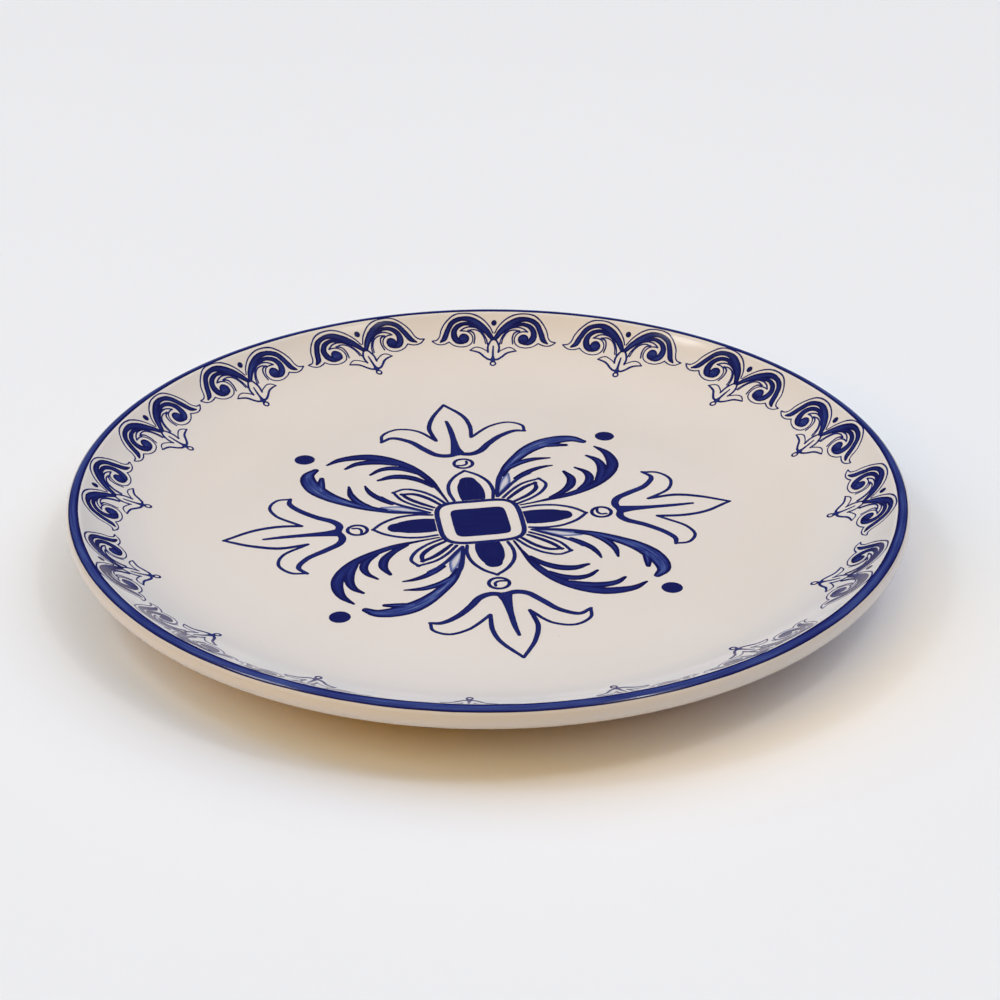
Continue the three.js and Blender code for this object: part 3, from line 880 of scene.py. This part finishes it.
floorSheet = bmesh.new()
bmesh.ops.create_grid(floorSheet, x_segments=8, y_segments=8, size=studio["floorSize"] / 2)
floorMesh = bpy.data.meshes.new("studioFloor")
floorSheet.to_mesh(floorMesh)
floorSheet.free()
floor = bpy.data.objects.new("studioFloor", floorMesh)
bpy.context.scene.collection.objects.link(floor)
paper = Finish("studioPaper", {"Roughness": 0.9, "Specular IOR Level": 0.0})
tone = paper.noise(paper.place(), studio["toneScale"], 2.0)
paper.feed("Base Color", paper.blend(tone, studio["paperLow"], studio["paperHigh"]))
floorMesh.materials.append(paper.material)

world = bpy.data.worlds.new("studioRoom")
bpy.context.scene.world = world
world.use_nodes = True
world.node_tree.nodes["Background"].inputs["Color"].default_value = (*studio["world"], 1.0)
world.node_tree.nodes["Background"].inputs["Strength"].default_value = studio["worldStrength"]

plateMiddle = Vector((0, 0, studio["middle"]))


def aimed(name, data, azimuth, elevation, distance):    # azimuth from +Y towards +X, in degrees
    a, e = math.radians(azimuth), math.radians(elevation)
    away = Vector((math.sin(a) * math.cos(e), math.cos(a) * math.cos(e), math.sin(e)))
    lamp = bpy.data.objects.new(name, data)
    bpy.context.scene.collection.objects.link(lamp)
    lamp.location = plateMiddle + away * distance
    lamp.rotation_mode = "QUATERNION"
    lamp.rotation_quaternion = away.to_track_quat("Z", "Y")
    return lamp


suns = {                        # soft daylight: energy, colour, spread, azimuth, elevation
    "backDay": (1.48, (0.97, 0.96, 0.965), 70.0, 40.0, 60.0),
    "warmFill": (1.08, (1.0, 0.66, 0.05), 60.0, -140.0, 45.0),
    "leftDay": (1.44, (0.1, 0.49, 1.0), 60.0, -70.0, 40.0),
    "rightDay": (0.65, (0.52, 0.65, 1.0), 60.0, 100.0, 40.0),
    "warmLow": (0.55, (1.0, 0.4, 0.0), 50.0, -115.0, 25.0),
}
for name, (energy, tint, spread, azimuth, elevation) in suns.items():
    data = bpy.data.lights.new(name, "SUN")
    data.energy = energy
    data.color = tint
    data.angle = math.radians(spread)
    lamp = aimed(name, data, azimuth, elevation, studio["sunDistance"])
    lamp.visible_glossy = False

softboxes = {                   # seen mostly as highlights: watts, size, azimuth, elevation, distance
    "leftBox": (1.8, 0.28, -88.0, 58.0, 1.6),
    "rightBox": (0.9, 0.28, 110.0, 66.0, 1.6),
    "rightLamp": (0.6, 0.04, 110.0, 66.0, 1.45),
}
for name, (power, size, azimuth, elevation, distance) in softboxes.items():
    data = bpy.data.lights.new(name, "AREA")
    data.energy = power
    data.size = size
    aimed(name, data, azimuth, elevation, distance)

view = {
    "distance": 0.87517,        # metres from the plate's floor
    "elevation": 0.5098,        # radians
    "aim": 0.5018,
    "roll": (-0.0045, -0.0033),
    "lens": 93.6,
    "sensor": 36.0,
    "clip": (0.05, 60.0),
}
cameraData = bpy.data.cameras.new("studioCamera")
cameraData.lens = view["lens"]
cameraData.sensor_width = view["sensor"]
cameraData.clip_start, cameraData.clip_end = view["clip"]
camera = bpy.data.objects.new("studioCamera", cameraData)
bpy.context.scene.collection.objects.link(camera)
camera.location = (0.0, -view["distance"] * math.cos(view["elevation"]),
                   floorTop * mm + view["distance"] * math.sin(view["elevation"]))
turn = (Matrix.Rotation(math.pi / 2 - view["aim"], 4, "X") @ Matrix.Rotation(view["roll"][0], 4, "Y")
        @ Matrix.Rotation(view["roll"][1], 4, "Z"))
camera.rotation_euler = turn.to_euler()
bpy.context.scene.camera = camera
bpy.context.scene.view_settings.view_transform = "Standard"
print("studio: floor, lights and camera")
